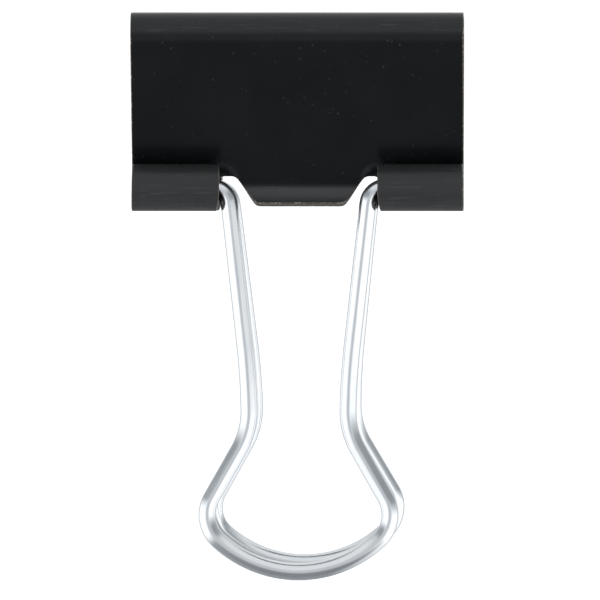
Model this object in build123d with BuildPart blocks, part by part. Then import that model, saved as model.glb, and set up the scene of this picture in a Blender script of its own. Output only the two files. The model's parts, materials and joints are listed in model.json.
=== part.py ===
from build123d import *
import os
from math import asin, atan2, cos, degrees, hypot, radians, sin, sqrt, tan

# Binder clip, nominal 19 mm: a rolled spring-steel body and two sprung wire handles.
#
# Frame: the origin is the middle of the line where the jaws meet. +Z points to the spine, X runs
# along the spine, and -Y is the front. The handles hang down past the jaws, towards -Z.

# Driving dimensions, in millimetres and degrees.
width = 19.05  # along the spine
sheet = 0.3  # thickness of the spring steel with its enamel
spine_height = 10.05  # from the jaw line to the spine's outer face
spine_depth = 9.2  # front to back
bend_radius = 1.4  # outside of the two spine bends
roll_radius = 1.36  # outside of the jaw rolls
roll_sweep = 318  # how far each roll curls
jaw_gap = 0.04  # between the two closed jaws
cut_gap = 0.02  # between the rigid parts that stand for the one flexing sheet
lip_angle = 56  # how far the middle tab curls below the level of the roll's axis
roll_inner_end = 4.51  # from the middle of the notches to the inner end of each roll
roll_shift = {"front": 0.05, "rear": 0.15}  # how far the rolls' ends sit to the right of centre
tab_shift = 0.14  # and the tabs, because the sheet was punched a little off centre
notch_root = 0.68  # height of the notch roots above the jaw line
tab_root_half = 3.73  # half-width of the middle tab at the notch roots
tab_edge_half = 2.54  # and at its lower edge
notch_round = 0.45
tab_round = 0.4
root_round = 0.2

wire = 1.0  # handle wire diameter
stub_end = 7.4  # where the wire ends inside the roll, from the middle
stub_bend = 1.0  # centreline radius of the bend between stub and leg
shoulder_lean = 10.0  # how far the legs lean in, just below the rolls
shoulder_radius = 7.0
leg_lean = 6.3  # and along their straight stretch
bow_radius = 40.0  # the slow curve from there to the neck
neck_lean = 1.0
neck_half = 2.84  # half-width of the handle at its neck, on the wire's centreline
neck_drop = 12.85  # from the roll's axis down to the neck
neck_radius = 4.4
widest_half = 5.25  # half-width of the finger grip, on the wire's centreline
corner_radius = 2.0
end_radius = 6.8  # the broad arc at the handle's end
handle_drop = 22.05  # from the roll's axis to the wire's centreline at the end
splay = {"front": 0, "rear": 9.5}  # how far each handle leans out from straight down
skew = {"front": 0, "rear": 0.6}  # how far its play lets it tilt to the right
side_play = {"front": 0.05, "rear": 0.15}  # and shift to the right

# Worked out from them, in the clip's end profile: outwards from the mid-plane, and up.
roll_mid = roll_radius - sheet / 2
bend_mid = bend_radius - sheet / 2
roll_out = roll_radius + jaw_gap / 2
bend_out = spine_depth / 2 - bend_radius
bend_up = spine_height - bend_radius
centres_apart = hypot(bend_out - roll_out, bend_up)
leaf_lean = degrees(atan2(bend_out - roll_out, bend_up) + asin((bend_mid + roll_mid) / centres_apart))
cut_angle = (90 - leaf_lean) / 2  # the middle of each spine bend
cut_half_turn = degrees(cut_gap / 2 / bend_radius)

os.makedirs("parts", exist_ok=True)


def ring_point(centre, radius, angle):
    """The point of a circle at that angle, in degrees from its local X."""
    return (centre[0] + radius * cos(radians(angle)), centre[1] + radius * sin(radians(angle)))


# ---------------------------------------------------------------- spring body
# The spine, with the near half of each bend.
bend_centre = (bend_out, bend_up)
spine_cut = cut_angle + cut_half_turn
with BuildPart() as spine_panel:
    with BuildSketch(Plane.YZ):
        with BuildLine() as spine_line:
            Line((-bend_out, bend_up + bend_mid), (bend_out, bend_up + bend_mid))
            CenterArc(bend_centre, bend_mid, 90, spine_cut - 90)
            CenterArc((-bend_out, bend_up), bend_mid, 90, 90 - spine_cut)
        trace(line_width=sheet)
    extrude(amount=width / 2, both=True)
spine_panel.part.label = "spine_panel"
export_step(spine_panel.part, "parts/spine_panel.step")

# Each leaf: the far half of its bend, the flat flank, a roll at each side and the tab between.
leaf_cut = cut_angle - cut_half_turn
roll_centre = (roll_out, 0)
roll_start = 180 - leaf_lean
leaf_top = ring_point(bend_centre, bend_mid, -leaf_lean)
leaf_bottom = ring_point(roll_centre, roll_mid, roll_start)
tab_edge = -roll_radius * sin(radians(lip_angle)) - cut_gap
for side, place in ((-1, "front"), (1, "rear")):
    profile_plane = Plane(origin=(0, 0, 0), x_dir=(0, side, 0), z_dir=(side, 0, 0))
    with BuildPart() as leaf:
        # the flank and the tab, whose curl stops early
        with BuildSketch(profile_plane):
            with BuildLine():
                CenterArc(bend_centre, bend_mid, leaf_cut, -leaf_cut - leaf_lean)
                Line(leaf_top, leaf_bottom)
                CenterArc(roll_centre, roll_mid, roll_start, 180 + lip_angle - roll_start)
            trace(line_width=sheet)
        extrude(amount=width / 2, both=True)
        # the two rolls
        left_end = roll_shift[place] - roll_inner_end
        right_end = roll_shift[place] + roll_inner_end
        for inner, outer in ((left_end, -width / 2), (right_end, width / 2)):
            with BuildSketch(profile_plane.offset(side * (inner + outer) / 2)):
                with BuildLine():
                    CenterArc(roll_centre, roll_mid, roll_start, roll_sweep)
                trace(line_width=sheet)
            extrude(amount=abs(outer - inner) / 2, both=True)
        # the notches beside the tab, and its rounded corners
        with BuildSketch(Plane.XZ.offset(-side * roll_out)):
            with BuildLine():
                Polyline(
                    (right_end, -2 * roll_radius),
                    (right_end, notch_root),
                    (tab_shift + tab_root_half, notch_root),
                    (tab_shift + tab_edge_half, tab_edge),
                    (tab_shift - tab_edge_half, tab_edge),
                    (tab_shift - tab_root_half, notch_root),
                    (left_end, notch_root),
                    (left_end, -2 * roll_radius),
                    close=True,
                )
            make_face()
            by_height = vertices().group_by(Axis.Y)
            root_corners = by_height[-1].sort_by(Axis.X)
            fillet(by_height[1], tab_round)
            fillet(root_corners[1:3], notch_round)
            fillet([root_corners[0], root_corners[3]], root_round)
        extrude(amount=side * 2 * roll_radius, mode=Mode.SUBTRACT)
    leaf.part.label = f"{place}_leaf"
    export_step(leaf.part, f"parts/{place}_leaf.step")

# ---------------------------------------------------------------- wire handles
# Half of the handle's centreline, across and up from the roll's axis: the stub in the roll, the
# shoulder, the leg, its bow into the neck, the flare, the corner of the grip and the end's arc.
end_centre = (0, end_radius - handle_drop)
corner_across = widest_half - corner_radius
corner_up = end_centre[1] - sqrt((end_radius - corner_radius) ** 2 - corner_across**2)
corner_centre = (corner_across, corner_up)
neck_centre = (neck_half + neck_radius, -neck_drop)
flare_across = corner_centre[0] - neck_centre[0]
flare_up = corner_centre[1] - neck_centre[1]
flare_cross = asin((neck_radius + corner_radius) / hypot(flare_across, flare_up))
flare_angle = degrees(atan2(flare_up, flare_across) + flare_cross)
end_angle = degrees(atan2(corner_up - end_centre[1], corner_across))
neck_end = ring_point(neck_centre, neck_radius, 180 - neck_lean)
bow_centre = ring_point(neck_end, bow_radius, -neck_lean)
bow_end = ring_point(bow_centre, bow_radius, 180 - leg_lean)
shoulder_sine = sin(radians(shoulder_lean))
shoulder_rise = shoulder_radius * (shoulder_sine - sin(radians(leg_lean)))
shoulder_up = -stub_bend * (1 - shoulder_sine) - shoulder_rise
shoulder_start = (bow_end[0] + (shoulder_up - bow_end[1]) * tan(radians(leg_lean)), shoulder_up)
shoulder_centre = ring_point(shoulder_start, shoulder_radius, -leg_lean)
shoulder_end = ring_point(shoulder_centre, shoulder_radius, 180 - shoulder_lean)
stub_bend_centre = ring_point(shoulder_end, stub_bend, -shoulder_lean)
flare_start = ring_point(neck_centre, neck_radius, flare_angle - 90)
flare_end = ring_point(corner_centre, corner_radius, flare_angle + 90)

for side, place in ((-1, "front"), (1, "rear")):
    lean = radians(splay[place])
    tilt = radians(skew[place])
    handle_plane = Plane(
        origin=(side_play[place], side * roll_out, 0),
        x_dir=(cos(tilt), -side * sin(tilt) * sin(lean), sin(tilt) * cos(lean)),
        z_dir=(0, -cos(lean), -side * sin(lean)),
    )
    middle_plane = Plane(handle_plane.origin, z_dir=handle_plane.x_dir)
    with BuildPart() as handle:
        with BuildLine(handle_plane) as centreline:
            Line((stub_end, 0), (stub_bend_centre[0], 0))
            CenterArc(stub_bend_centre, stub_bend, 90, 90 - shoulder_lean)
            CenterArc(shoulder_centre, shoulder_radius, 180 - shoulder_lean, shoulder_lean - leg_lean)
            Line(shoulder_start, bow_end)
            CenterArc(bow_centre, bow_radius, 180 - leg_lean, leg_lean - neck_lean)
            CenterArc(neck_centre, neck_radius, 180 - neck_lean, flare_angle + 90 + neck_lean)
            Line(flare_start, flare_end)
            CenterArc(corner_centre, corner_radius, flare_angle + 90, end_angle - flare_angle - 90)
            CenterArc(end_centre, end_radius, end_angle, -90 - end_angle)
            mirror(about=middle_plane)
        with BuildSketch(Plane(centreline.line @ 0, z_dir=centreline.line % 0)):
            Circle(wire / 2)
        sweep(path=centreline.line)
    handle.part.label = f"{place}_handle"
    export_step(handle.part, f"parts/{place}_handle.step")
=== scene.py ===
"""Small binder clip: the rolled black spring body and its two plated wire handles, round the CAD frame.

The sheet is drawn as it was punched, flat, and then rolled up along the clip's end profile. Shape
sizes are in millimetres and become metres in new_piece. Front is -Y, and +Z is towards the spine.
"""
import json

import bpy
from math import acos, asin, atan2, ceil, cos, degrees, hypot, pi, radians, sin, sqrt, tan
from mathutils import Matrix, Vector
from mathutils.geometry import delaunay_2d_cdt


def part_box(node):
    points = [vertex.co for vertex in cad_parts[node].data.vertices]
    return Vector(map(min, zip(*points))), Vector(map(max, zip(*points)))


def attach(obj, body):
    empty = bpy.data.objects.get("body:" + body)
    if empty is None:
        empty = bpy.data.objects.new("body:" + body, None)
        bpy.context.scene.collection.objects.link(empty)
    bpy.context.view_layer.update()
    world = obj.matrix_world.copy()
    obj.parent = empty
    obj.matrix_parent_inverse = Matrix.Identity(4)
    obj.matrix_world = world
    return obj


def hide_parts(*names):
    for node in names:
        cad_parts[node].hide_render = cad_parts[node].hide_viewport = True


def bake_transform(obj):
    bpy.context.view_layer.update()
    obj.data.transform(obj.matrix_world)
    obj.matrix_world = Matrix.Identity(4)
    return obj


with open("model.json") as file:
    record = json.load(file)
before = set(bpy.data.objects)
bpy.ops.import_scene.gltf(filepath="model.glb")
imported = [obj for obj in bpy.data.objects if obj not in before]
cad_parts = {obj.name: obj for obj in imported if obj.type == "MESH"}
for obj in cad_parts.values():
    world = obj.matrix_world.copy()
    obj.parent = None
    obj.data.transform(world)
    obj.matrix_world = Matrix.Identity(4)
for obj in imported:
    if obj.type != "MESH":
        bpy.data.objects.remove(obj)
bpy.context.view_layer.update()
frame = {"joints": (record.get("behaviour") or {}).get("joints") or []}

MM = 0.001
joint_pos = {joint["name"]: Vector(joint["pos_m"]) / MM for joint in frame["joints"]}
leaf_low, leaf_high = (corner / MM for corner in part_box("front_leaf"))
spine_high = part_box("spine_panel")[1] / MM
handle_low, handle_high = (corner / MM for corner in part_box("front_handle"))
rear_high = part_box("rear_handle")[1] / MM

# The body, from the frame and the gauge of its sheet.
half_width = leaf_high.x
sheet = 0.3
edge_round = 0.07  # the rounding of the sheet's cut edges
roll_out = -joint_pos["front_handle_swing"].y  # roll axis, outwards from the mid-plane
roll_mid = -leaf_low.z - sheet / 2  # radius of the roll at mid-sheet
bend_mid = 1.25  # radius of the spine bends at mid-sheet
bend_out = -leaf_low.y - bend_mid - sheet / 2
bend_up = spine_high.z - bend_mid - sheet / 2
centres_apart = hypot(bend_out - roll_out, bend_up)
leaf_turn = atan2(bend_out - roll_out, bend_up) + asin((bend_mid + roll_mid) / centres_apart)
bend_turn = pi / 2 + leaf_turn
roll_start = pi - leaf_turn
roll_end = 469  # the angle round its axis, in degrees, where each roll's curl stops

# The notches, which were punched a little to the right, by a different amount at each jaw.
roll_inner_end = 4.51
front_roll_shift, rear_roll_shift = 0.05, 0.15
tab_shift = 0.14
tab_root_half = 3.73  # half-width of the tab at the notch roots
tab_edge_half = 2.50  # and at its lower edge
lip_angle = 56  # how far the tab curls below the level of the roll's axis

# Distances along the sheet from the middle of the spine.
at_bend = bend_out
at_leaf = at_bend + bend_mid * bend_turn
leaf_top = (bend_out + bend_mid * cos(leaf_turn), bend_up - bend_mid * sin(leaf_turn))
leaf_foot = (roll_out + roll_mid * cos(roll_start), roll_mid * sin(roll_start))
at_roll = at_leaf + hypot(leaf_top[0] - leaf_foot[0], leaf_top[1] - leaf_foot[1])
at_notch = at_roll - 0.12


def roll_at(angle):
    """Distance along the sheet of a point at that angle round the roll, in degrees."""
    return at_roll + roll_mid * (radians(angle) - roll_start)


# ------------------------------------------------------------------ the rolled sheet
def profile(along):
    """Where the middle of the sheet is, and its outer face's direction, both as (outwards, up)."""
    if along <= at_bend:
        return (along, bend_up + bend_mid), (0.0, 1.0)
    if along <= at_leaf:
        angle = pi / 2 - (along - at_bend) / bend_mid
        facing = (cos(angle), sin(angle))
        return (bend_out + bend_mid * facing[0], bend_up + bend_mid * facing[1]), facing
    if along <= at_roll:
        part = (along - at_leaf) / (at_roll - at_leaf)
        spot = tuple(a + (b - a) * part for a, b in zip(leaf_top, leaf_foot))
        return spot, (cos(leaf_turn), -sin(leaf_turn))
    angle = roll_start + (along - at_roll) / roll_mid
    facing = (-cos(angle), -sin(angle))
    return (roll_out - roll_mid * facing[0], -roll_mid * facing[1]), facing


def rounded(corners, arc_spacing=0.06, line_spacing=0.12):
    """Points along a path of (x, along, radius) corners, with an arc at each that has a radius."""
    path = []
    for i, (x, y, radius) in enumerate(corners):
        here = Vector((x, y))
        if radius == 0:
            path.append(here)
            continue
        back = (Vector(corners[i - 1][:2]) - here).normalized()
        ahead = (Vector(corners[i + 1][:2]) - here).normalized()
        half = acos(max(-1.0, min(1.0, back.dot(ahead)))) / 2
        reach = radius / tan(half)
        centre = here + (back + ahead).normalized() * radius / sin(half)
        first, last = here + back * reach - centre, here + ahead * reach - centre
        turn = first.angle_signed(last)
        count = max(2, ceil(abs(turn) * radius / arc_spacing), ceil(abs(turn) / radians(9)))
        for k in range(count + 1):
            swing = turn * k / count
            path.append(centre + Vector((
                first.x * cos(swing) + first.y * sin(swing),
                first.y * cos(swing) - first.x * sin(swing),
            )))
    dense = [path[0]]
    for point in path[1:]:
        gap = point - dense[-1]
        steps = max(1, ceil(gap.length / line_spacing))
        start = dense[-1].copy()
        dense += [start + gap * k / steps for k in range(1, steps + 1)]
    return dense


def tongue(side, inner):
    """Corners of the tongue that becomes one roll, from the notch round its end to the spine."""
    end = roll_at(roll_end)
    corners = [
        (inner + 0.04, at_notch, 0.22),
        (inner + 0.05, roll_at(205), 0.8),
        (inner + 0.20, roll_at(268), 1.4),  # hollowed under the roll, where the wire leaves it
        (inner + 0.02, roll_at(345), 1.6),
        (inner + 0.02, end, 0.85),
        (half_width - 0.06, end, 0.2),
        (half_width, roll_at(300), 4.0),
        (half_width, 0.0, 0.0),
    ]
    return [(side * x, along, radius) for x, along, radius in corners]


def tab(side):
    """Corners of half of the middle tab, from its lower edge to the notch root."""
    return [
        (tab_shift + side * tab_edge_half, roll_at(180 + lip_angle), 0.42),
        (tab_shift + side * tab_root_half, at_notch, 0.45),
    ]


def sheet_outline(shift):
    """The free edge of half of the punched sheet, from one end of the spine's middle to the other."""
    left = tongue(-1, roll_inner_end - shift)[::-1] + tab(-1)[::-1]
    right = tab(1) + tongue(1, roll_inner_end + shift)
    return rounded(left + right)


def edge_rings(outline):
    """The sheet's rounded edge: for each ring its points, half-thickness and lean of its normal."""
    inward = []
    last = len(outline) - 1
    for i in range(len(outline)):
        run = outline[min(i + 1, last)] - outline[max(i - 1, 0)]
        inward.append(Vector((run.y, -run.x)).normalized())
    inward[0], inward[-1] = Vector((1, 0)), Vector((-1, 0))
    rings = []
    steps = 4
    for k in range(steps + 1):
        lean = pi / 2 * k / steps
        shrink = edge_round * (1 - cos(lean))
        rings.append((
            [p + n * shrink for p, n in zip(outline, inward)],
            sheet / 2 - edge_round * (1 - sin(lean)),
            lean,
        ))
    return rings, inward


def inside_points():
    """Rows of points across the flat sheet, close together where it curves."""
    spine_step, bend_rows, leaf_rows, roll_rows, column_count = 0.4, 30, 20, 84, 48
    roll_sweep = 317
    rows = []
    along = spine_step
    while along < at_bend - 0.05:
        rows.append(along)
        along += spine_step
    rows += [at_bend + (at_leaf - at_bend) * k / bend_rows for k in range(bend_rows + 1)]
    rows += [at_leaf + (at_roll - at_leaf) * k / leaf_rows for k in range(1, leaf_rows)]
    rows += [roll_at(degrees(roll_start) + roll_sweep * k / roll_rows) for k in range(roll_rows + 1)]
    columns = [half_width * (2 * k / column_count - 1) for k in range(1, column_count)]
    return [Vector((x, along)) for along in rows for x in columns]


def clear_of(points, outline, distance):
    """The points that are at least that far inside the outline's own points."""
    cells = {}
    for p in outline:
        cells.setdefault((round(p.x / distance), round(p.y / distance)), []).append(p)
    kept = []
    for p in points:
        cx, cy = round(p.x / distance), round(p.y / distance)
        near = (q for i in (-1, 0, 1) for j in (-1, 0, 1) for q in cells.get((cx + i, cy + j), ()))
        if all((p - q).length > distance for q in near):
            kept.append(p)
    return kept


def clamped(value):
    return max(0.0, min(1.0, value))


def bend_wear_and_sheen(along):
    """How much painted sheen and duller, stretched enamel the sheet has there: little in the spine bends,
    more in the rolls, most in the tab.
    """
    if along < at_leaf:
        most, fade, stop = 0.3, 0.1, 0.72
        into = (along - at_bend) / (at_leaf - at_bend)
        return most * clamped(min(into / fade, (stop - into) / fade))
    start = (along - roll_at(174)) / (roll_at(186) - roll_at(174))
    past_tab = (along - roll_at(240)) / (roll_at(265) - roll_at(240))
    less_in_rolls = 0.45
    return clamped(start) * (1.0 - less_in_rolls * clamped(past_tab))


def spring_half(name, side, roll_shift):
    """Half of the spring body, from the middle of the spine to the roll at one side."""
    outline = sheet_outline(roll_shift)
    rings, inward = edge_rings(outline)
    count = len(outline)
    top_ring = rings[-1][0]
    seam_points = 48
    across = top_ring[0] - top_ring[-1]
    seam = [top_ring[-1] + across * k / seam_points for k in range(1, seam_points)]
    loop = top_ring + seam
    least_gap, keep_inside, tolerance = 0.05, 1, 1e-5
    flat = loop + clear_of(inside_points(), loop, least_gap)
    out = delaunay_2d_cdt(flat, [], [list(range(len(loop)))], keep_inside, tolerance)
    flat_verts, triangles = out[0], out[2]

    points, normals, flats, cuts = [], [], [], []

    def add(x, along, height, lean, edge_in, face):
        """One vertex, that high off mid-sheet; at a lean of 90 degrees it faces straight out."""
        spot, facing = profile(max(0.0, along))
        run = (facing[1], -facing[0])
        points.append((
            x,
            side * (spot[0] + facing[0] * height),
            spot[1] + facing[1] * height,
        ))
        edge_x, edge_along = -edge_in.x * cos(lean), -edge_in.y * cos(lean)
        out_y = facing[0] * sin(lean) * face + run[0] * edge_along
        out_z = facing[1] * sin(lean) * face + run[1] * edge_along
        normals.append(Vector((edge_x, side * out_y, out_z)).normalized())
        flats.append((x * MM, along * MM, face * MM))
        cuts.append(1.0 - min(1.0, lean / (pi / 2)) ** 2)
        return len(points) - 1

    faces = []
    none = Vector((0, 0))
    for face in (1, -1):
        first = len(points)
        for p in flat_verts:
            add(p.x, p.y, face * sheet / 2, pi / 2, none, face)
        for triangle in triangles:
            ids = [first + i for i in triangle]
            faces.append(ids if face * side > 0 else ids[::-1])
    # the rounded edge runs from the inner face round to the outer one
    order = [(k, -1) for k in range(len(rings) - 2, -1, -1)] + [(k, 1) for k in range(len(rings) - 1)]
    ring_ids = [[len(flat_verts) + i for i in range(count)]]
    for k, face in order:
        ring, half_thick, lean = rings[k]
        ring_ids.append([
            add(p.x, p.y, face * half_thick, lean, n, face) for p, n in zip(ring, inward)
        ])
    ring_ids.append(list(range(count)))
    for low, high in zip(ring_ids, ring_ids[1:]):
        for i in range(count - 1):
            quad = [low[i], low[i + 1], high[i + 1], high[i]]
            faces.append(quad[::-1] if side > 0 else quad)
    piece = new_piece(name, points, faces, enamel)
    mesh = piece.data
    mesh.normals_split_custom_set_from_vertices(normals)
    set_attribute(mesh, "flat", "FLOAT_VECTOR", flats)
    set_attribute(mesh, "cut", "FLOAT", cuts)
    # the mask of painted sheen, and of duller stretched enamel, at each vertex
    set_attribute(mesh, "bend_wear_and_sheen", "FLOAT", [bend_wear_and_sheen(f[1] / MM) for f in flats])
    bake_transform(piece)
    return piece


# ------------------------------------------------------------------ the wire handles
wire_radius = (handle_high.y - handle_low.y) / 2
stub_end = (handle_high.x - handle_low.x) / 2
handle_drop = -handle_low.z - wire_radius
stub_bend = 1.0  # radius of the bend between stub and leg, at mid-wire as are all these
shoulder_lean = radians(10.0)  # how far the legs lean in, just below the rolls
shoulder_radius = 7.0
leg_lean = radians(6.3)  # and along their straight stretch
bow_radius = 40.0  # the slow curve from there to the neck
neck_lean = radians(1.0)
neck_half = 2.84  # half-width at the neck
neck_drop = 12.85  # from the roll axis down to the neck
neck_radius = 4.4
widest_half = 5.25  # half-width of the finger grip
corner_radius = 2.0
end_radius = 6.8
rear_skew = radians(0.6)  # how far its play lets the rear handle tilt


def ring_point(centre, radius, angle):
    """The point of a circle at that angle."""
    return (centre[0] + radius * cos(angle), centre[1] + radius * sin(angle))


def arc(centre, radius, start, end):
    """Points of an arc without its first one, close enough to look round."""
    turn = end - start
    widest_step, longest_step = radians(3), 0.4
    count = max(3, ceil(abs(turn) / widest_step), ceil(abs(turn) * radius / longest_step))
    return [ring_point(centre, radius, start + turn * k / count) for k in range(1, count + 1)]


def straight(start, end, steps):
    """Points along a line without its first one."""
    return [tuple(a + (b - a) * k / steps for a, b in zip(start, end)) for k in range(1, steps + 1)]


def handle_line():
    """The handle's centreline as (across, up) from the roll axis, from its right end to its left."""
    end_up = end_radius - handle_drop
    corner_across = widest_half - corner_radius
    corner_up = end_up - sqrt((end_radius - corner_radius) ** 2 - corner_across**2)
    neck = (neck_half + neck_radius, -neck_drop)
    across, up = corner_across - neck[0], corner_up - neck[1]
    flare = atan2(up, across) + asin((neck_radius + corner_radius) / hypot(across, up))
    end_angle = atan2(corner_up - end_up, corner_across)
    bow = ring_point(ring_point(neck, neck_radius, pi - neck_lean), bow_radius, -neck_lean)
    bow_end = ring_point(bow, bow_radius, pi - leg_lean)
    shoulder_rise = shoulder_radius * (sin(shoulder_lean) - sin(leg_lean))
    shoulder_up = -stub_bend * (1 - sin(shoulder_lean)) - shoulder_rise
    shoulder_foot = (bow_end[0] + (shoulder_up - bow_end[1]) * tan(leg_lean), shoulder_up)
    shoulder = ring_point(shoulder_foot, shoulder_radius, -leg_lean)
    shoulder_end = ring_point(shoulder, shoulder_radius, pi - shoulder_lean)
    bend = ring_point(shoulder_end, stub_bend, -shoulder_lean)
    half = [(stub_end, 0.0)]
    half += straight(half[0], (bend[0], 0.0), 12)
    half += arc(bend, stub_bend, pi / 2, pi - shoulder_lean)
    half += arc(shoulder, shoulder_radius, pi - shoulder_lean, pi - leg_lean)
    half += straight(half[-1], bow_end, 16)
    half += arc(bow, bow_radius, pi - leg_lean, pi - neck_lean)
    half += arc(neck, neck_radius, pi - neck_lean, flare + 3 * pi / 2)
    half += arc((corner_across, corner_up), corner_radius, flare + pi / 2, end_angle)
    half += arc((0.0, end_up), end_radius, end_angle, -pi / 2)
    return half + [(-across, up) for across, up in half[-2::-1]]


def wire_handle(name, body, middle, side, lean, skew):
    """A shaped wire with two cropped ends; middle is halfway between them, on the roll's axis."""
    around, crop = 40, 0.1  # points round the wire, and the rounding of its ends
    straight_up = Vector((0, -side * sin(lean), cos(lean)))
    face = Vector((0, -cos(lean), -side * sin(lean)))
    sideways = Vector((cos(skew), 0, 0)) + straight_up * sin(skew)
    up_wire = straight_up * cos(skew) - Vector((sin(skew), 0, 0))
    centres = [middle + sideways * across + up_wire * up for across, up in handle_line()]
    last = len(centres) - 1
    runs = [(centres[min(i + 1, last)] - centres[max(i - 1, 0)]).normalized() for i in range(last + 1)]
    stations = [(centres[0], 0.0, runs[0]), (centres[0], wire_radius - crop, runs[0])]
    stations += [(centres[0] + runs[0] * crop, wire_radius, runs[0])]
    stations += [(c, wire_radius, r) for c, r in zip(centres[1:-1], runs[1:-1])]
    stations += [(centres[-1] - runs[-1] * crop, wire_radius, runs[-1])]
    stations += [(centres[-1], wire_radius - crop, runs[-1]), (centres[-1], 0.0, runs[-1])]
    points, faces, along_wire, cuts = [], [], [], []
    travelled = 0.0
    for i, (centre, radius, run) in enumerate(stations):
        if i:
            travelled += (centre - stations[i - 1][0]).length
        across = run.cross(face).normalized()
        for k in range(around):
            turn = 2 * pi * k / around
            points.append(centre + (across * cos(turn) + face * sin(turn)) * radius)
            along_wire.append((travelled * MM, cos(turn) * MM, sin(turn) * MM))
            cuts.append(1.0 if radius < wire_radius else 0.0)
    for i in range(len(stations) - 1):
        for k in range(around):
            a, b = i * around + k, i * around + (k + 1) % around
            faces.append([a, b, b + around, a + around])
    piece = new_piece(name, points, faces, nickel)
    set_attribute(piece.data, "wire", "FLOAT_VECTOR", along_wire)
    set_attribute(piece.data, "cut", "FLOAT", cuts)
    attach(piece, body)
    return piece


# ------------------------------------------------------------------ helpers for pieces
def new_piece(name, points, faces, material):
    """A smooth mesh object in metres from points in millimetres."""
    mesh = bpy.data.meshes.new(name)
    mesh.from_pydata([tuple(c * MM for c in p) for p in points], [], faces)
    mesh.polygons.foreach_set("use_smooth", [True] * len(mesh.polygons))
    mesh.materials.append(material)
    mesh.update()
    piece = bpy.data.objects.new(name, mesh)
    bpy.context.scene.collection.objects.link(piece)
    return piece


def set_attribute(mesh, name, kind, values):
    """A value at each vertex, for the materials to read."""
    layer = mesh.attributes.new(name, kind, "POINT")
    if kind == "FLOAT":
        layer.data.foreach_set("value", values)
    else:
        layer.data.foreach_set("vector", [c for v in values for c in v])


# ------------------------------------------------------------------ materials
class Nodes:
    """A short way to write a node tree."""

    def __init__(self, tree):
        self.tree = tree

    def add(self, kind, inputs=None, **settings):
        node = self.tree.nodes.new(kind)
        for key, value in settings.items():
            setattr(node, key, value)
        for key, value in (inputs or {}).items():
            if isinstance(value, bpy.types.NodeSocket):
                self.tree.links.new(value, node.inputs[key])
            else:
                node.inputs[key].default_value = value
        return node

    def math(self, operation, a, b=0.0, clamp=False):
        return self.add("ShaderNodeMath", {0: a, 1: b}, operation=operation, use_clamp=clamp).outputs[0]

    def attribute(self, name, output):
        return self.add("ShaderNodeAttribute", attribute_name=name).outputs[output]

    def scaled(self, vector, scale):
        return self.add("ShaderNodeVectorMath", {0: vector, 1: scale}, operation="MULTIPLY").outputs[0]

    def noise(self, vector, scale, detail=3.0, roughness=0.55):
        inputs = {"Vector": vector, "Scale": scale, "Detail": detail, "Roughness": roughness}
        return self.add("ShaderNodeTexNoise", inputs).outputs["Fac"]

    def between(self, value, low, high, to_low=0.0, to_high=1.0):
        inputs = {0: value, 1: low, 2: high, 3: to_low, 4: to_high}
        return self.add("ShaderNodeMapRange", inputs, clamp=True).outputs[0]

    def mix(self, amount, a, b):
        node = self.add("ShaderNodeMix", data_type="RGBA")
        for socket, value in ((0, amount), (6, a), (7, b)):
            if isinstance(value, bpy.types.NodeSocket):
                self.tree.links.new(value, node.inputs[socket])
            else:
                node.inputs[socket].default_value = value
        return node.outputs[2]


def new_material(name):
    """A new material, its node tree and its Principled shader."""
    material = bpy.data.materials.new(name)
    material.use_nodes = True
    nodes = Nodes(material.node_tree)
    surface = material.node_tree.nodes["Principled BSDF"]
    return material, nodes, surface


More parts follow.
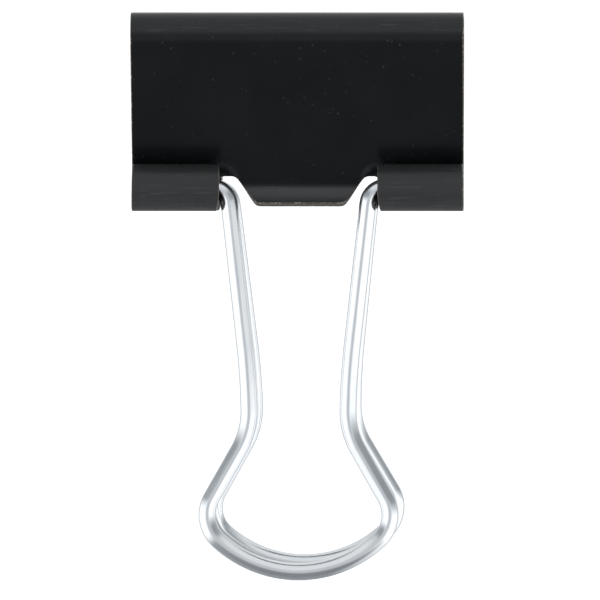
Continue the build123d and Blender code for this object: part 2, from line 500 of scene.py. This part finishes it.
def black_enamel():
    """Stoved black enamel: satin-gloss on the flats, dull and lifted by painted sheen in the bends, worn
    to steel at cut edges.
    """
    material, n, surface = new_material("enamel_finish")
    flat = n.attribute("flat", "Vector")
    bend_wear_and_sheen_here = n.attribute("bend_wear_and_sheen", "Fac")
    cut = n.attribute("cut", "Fac")
    link = n.tree.links.new

    black, hazy = (0.0036, 0.0042, 0.0046, 1), (0.0060, 0.0066, 0.0070, 1)
    # the bends' grey lift is painted sheen where they catch the light, with some duller stretched enamel
    dull_sheen_tone, dust, scuffed = (0.0500, 0.0500, 0.0506, 1), (0.070, 0.070, 0.068, 1), (0.085, 0.084, 0.082, 1)
    thin_edge, steel = (0.078, 0.068, 0.061, 1), (0.42, 0.40, 0.37, 1)

    # colour: black with a trace of haze, painted sheen lifting the bends and the tab's lip towards grey,
    # dust specks, pale streaks along the bends
    cloud = n.noise(flat, 260.0, 4.0)
    haze = n.mix(n.between(cloud, 0.35, 0.7), black, hazy)
    # painted sheen: the bends and the tab's lip are lifted from black towards grey
    sheen_lifted = n.mix(bend_wear_and_sheen_here, haze, dull_sheen_tone)
    ragged = n.add("ShaderNodeTexNoise", {"Vector": flat, "Scale": 9000.0, "Detail": 2.0})
    shake = n.scaled(ragged.outputs["Color"], (0.0001,) * 3)
    shaken = n.add("ShaderNodeVectorMath", {0: flat, 1: shake}).outputs[0]
    grains = n.add("ShaderNodeTexVoronoi", {"Vector": shaken, "Scale": 4200.0, "Randomness": 1.0})
    near = n.between(grains.outputs["Distance"], 0.05, 0.32, 1.0, 0.0)
    chosen = n.add("ShaderNodeSeparateColor", {0: grains.outputs["Color"]})
    dusty = n.between(n.noise(flat, 150.0, 2.0), 0.48, 0.66)
    keep = n.between(n.math("ADD", chosen.outputs[0], n.math("MULTIPLY", dusty, 0.10)), 0.94, 1.0)
    speck = n.math("MULTIPLY", near, keep)
    speckled = n.mix(n.math("MULTIPLY", speck, 0.38), sheen_lifted, dust)
    streaks = n.noise(n.scaled(flat, (420.0, 9000.0, 1000.0)), 1.0, 5.0, 0.7)
    streak = n.math("MULTIPLY", n.between(streaks, 0.54, 0.72), n.between(bend_wear_and_sheen_here, 0.0, 0.3))
    streaky = n.mix(n.math("MULTIPLY", streak, 0.45), speckled, scuffed)

    # bare steel where the enamel is thin on the cut edges
    chips = n.noise(flat, 5200.0, 3.0, 0.7)
    bare = n.math("MULTIPLY", n.between(cut, 0.10, 0.5), n.between(chips, 0.56, 0.64))
    edged = n.mix(n.between(cut, 0.10, 0.7), streaky, thin_edge)
    colour = n.mix(n.math("MULTIPLY", bare, 0.8), edged, steel)
    link(colour, surface.inputs["Base Color"])
    link(n.math("MULTIPLY", bare, 0.6), surface.inputs["Metallic"])

    # gloss
    rough_cloud = n.between(n.noise(flat, 420.0, 4.0), 0.3, 0.7, 0.16, 0.24)
    rough = n.math("ADD", rough_cloud, n.math("MULTIPLY", bend_wear_and_sheen_here, 0.14))
    rough = n.math("ADD", rough, n.math("MULTIPLY", speck, 0.3), True)
    link(n.math("ADD", rough, n.math("MULTIPLY", streak, 0.15), True), surface.inputs["Roughness"])
    surface.inputs["IOR"].default_value = 1.35

    # orange peel, fine scuffs and the pits of the formed sheet
    peel = n.noise(flat, 1500.0, 2.0, 0.4)
    fine = n.noise(n.scaled(flat, (900.0, 7000.0, 1000.0)), 1.0, 4.0, 0.65)
    scuffs = n.math("MULTIPLY", n.math("MULTIPLY", fine, bend_wear_and_sheen_here), 0.35)
    height = n.math("ADD", n.math("MULTIPLY", peel, 0.6), scuffs)
    height = n.math("ADD", height, n.math("MULTIPLY", speck, 0.8))
    height = n.math("SUBTRACT", height, n.math("MULTIPLY", bare, 0.8))
    bump = n.add("ShaderNodeBump", {"Strength": 0.35, "Distance": 0.00001, "Height": height})
    link(bump.outputs[0], surface.inputs["Normal"])
    return material


def plated_wire():
    """Bright nickel plate on drawn steel wire, with fine die lines along its length."""
    material, n, surface = new_material("nickel_finish")
    wire = n.attribute("wire", "Vector")
    cut = n.attribute("cut", "Fac")
    link = n.tree.links.new
    surface.inputs["Metallic"].default_value = 1.0
    bright, pale = (0.80, 0.82, 0.85, 1), (0.88, 0.89, 0.90, 1)
    die_line, raw_end = (0.60, 0.62, 0.66, 1), (0.45, 0.43, 0.40, 1)

    cloud = n.noise(n.scaled(wire, (350.0, 700.0, 700.0)), 1.0, 3.0)
    plate = n.mix(n.between(cloud, 0.3, 0.7), bright, pale)
    lines = n.noise(n.scaled(wire, (160.0, 7000.0, 7000.0)), 1.0, 4.0, 0.6)
    lined = n.mix(n.between(lines, 0.58, 0.75, 0.0, 0.35), plate, die_line)
    cropped = n.mix(n.between(cut, 0.4, 0.9), lined, raw_end)
    link(cropped, surface.inputs["Base Color"])

    rough = n.between(n.noise(n.scaled(wire, (260.0, 1500.0, 1500.0)), 1.0, 3.0), 0.3, 0.7, 0.13, 0.23)
    rough = n.math("ADD", rough, n.math("MULTIPLY", n.between(cut, 0.4, 0.9), 0.35))
    link(rough, surface.inputs["Roughness"])

    pits = n.noise(n.scaled(wire, (4200.0, 4200.0, 4200.0)), 1.0, 2.0)
    height = n.math("ADD", n.math("MULTIPLY", lines, 0.6), n.math("MULTIPLY", pits, 0.25))
    bump = n.add("ShaderNodeBump", {"Strength": 0.25, "Distance": 0.00001, "Height": height})
    link(bump.outputs[0], surface.inputs["Normal"])
    return material


# ------------------------------------------------------------------ the object
enamel, nickel = black_enamel(), plated_wire()
front = spring_half("spring_body_front", -1, front_roll_shift)
rear = spring_half("spring_body_rear", 1, rear_roll_shift)
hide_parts("spine_panel", "front_leaf")
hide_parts("spine_panel", "rear_leaf")

rear_lean = asin((rear_high.y - wire_radius - roll_out) / handle_drop)
for place, side, lean, skew in (("front", -1, 0.0, 0.0), ("rear", 1, rear_lean, rear_skew)):
    low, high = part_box(f"{place}_handle")
    middle = Vector(((low.x + high.x) / 2 / MM, side * roll_out, 0))
    handle = wire_handle(f"{place}_wire_handle", f"{place}_wire", middle, side, lean, skew)
    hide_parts(f"{place}_handle")


# ------------------------------------------------------------------ floor, light and camera
def pale_floor():
    """A plain floor just under the front handle, that reflections in the wire leave out."""
    reach, gap = 3.0, 0.00002
    height = handle_low.z * MM - gap
    corners = [(x * reach, y * reach, height) for x, y in ((-1, -1), (1, -1), (1, 1), (-1, 1))]
    mesh = bpy.data.meshes.new("floor")
    mesh.from_pydata(corners, [], [(0, 1, 2, 3)])
    floor = bpy.data.objects.new("floor", mesh)
    bpy.context.scene.collection.objects.link(floor)
    material, _, surface = new_material("floor_white")
    surface.inputs["Base Color"].default_value = (0.9, 0.9, 0.9, 1)
    surface.inputs["Roughness"].default_value = 0.7
    surface.inputs["Emission Color"].default_value = (1, 1, 1, 1)
    surface.inputs["Emission Strength"].default_value = 0.55
    mesh.materials.append(material)
    floor.visible_glossy = False


def studio():
    """A white tent: bright sides, dim corners overhead, a grey front, and the dark room below it."""
    world = bpy.data.worlds.new("studio")
    bpy.context.scene.world = world
    world.use_nodes = True
    n = Nodes(world.node_tree)
    way = n.add("ShaderNodeTexCoord").outputs["Generated"]
    x, y, z = n.add("ShaderNodeSeparateXYZ", {0: way}).outputs
    part = n.math("ADD", n.math("DIVIDE", n.math("ARCTAN2", z, x), 2 * pi), 0.5)
    ring = n.add("ShaderNodeValToRGB", {0: part})
    # the level of light from each side: left, below, right, above and left again
    bright, middling, dim = 1.30, 0.85, 0.36
    levels = (
        (0.0, bright), (0.09, bright), (0.13, dim), (0.29, dim), (0.34, middling), (0.39, bright),
        (0.495, bright), (0.52, 0.75), (0.55, dim), (0.60, dim), (0.64, middling),
        (0.86, middling), (0.90, dim), (0.935, dim), (0.97, bright),
    )
    ramp = ring.color_ramp
    while len(ramp.elements) > 1:
        ramp.elements.remove(ramp.elements[-1])
    for i, (place, level) in enumerate(levels):
        stop = ramp.elements[0] if i == 0 else ramp.elements.new(place)
        stop.position = place
        stop.color = (level - 0.04, level - 0.014, level, 1)
    white, dimmer = (1.1, 1.1, 1.1, 1), (0.62, 0.64, 0.66, 1)
    grey, dark = (0.60, 0.62, 0.65, 1), (0.26, 0.27, 0.29, 1)
    sideways = n.math("ABSOLUTE", x)
    # the sides of the tent dim towards the back, and straight behind it is white
    back = n.math("MULTIPLY", n.between(y, 0.35, 0.62), n.between(sideways, 0.15, 0.45))
    dimmed = n.mix(back, ring.outputs[0], dimmer)
    behind = n.mix(n.between(y, 0.90, 0.97), dimmed, white)
    # the camera's side is grey, and under it is the dark of the room
    near_side = n.mix(n.between(y, -0.985, -0.91), grey, behind)
    room_way = (0.0, -0.60, -0.80)
    low = n.add("ShaderNodeVectorMath", {0: way, 1: room_way}, operation="DOT_PRODUCT").outputs["Value"]
    room = n.mix(n.between(low, 0.80, 0.93), near_side, dark)
    # the backdrop itself is plain white
    seen = n.add("ShaderNodeLightPath").outputs["Is Camera Ray"]
    backdrop = n.mix(seen, room, white)
    n.tree.links.new(backdrop, n.tree.nodes["Background"].inputs["Color"])


def camera():
    """The camera looks nearly level, a little from the right."""
    azimuth, elevation, distance = radians(0.9), radians(1.1), 0.9
    seen_width = 0.03444
    target = Vector((0.00013, -0.0010, -0.00646))
    away = Vector((sin(azimuth) * cos(elevation), -cos(azimuth) * cos(elevation), sin(elevation)))
    data = bpy.data.cameras.new("camera")
    eye = bpy.data.objects.new("camera", data)
    bpy.context.scene.collection.objects.link(eye)
    eye.location = target + away * distance
    eye.rotation_euler = away.to_track_quat("Z", "Y").to_euler()
    data.sensor_width = 36
    data.lens = data.sensor_width * distance / seen_width
    data.clip_start = 0.01
    bpy.context.scene.camera = eye


pale_floor()
studio()
camera()
bpy.context.scene.view_settings.view_transform = "Standard"
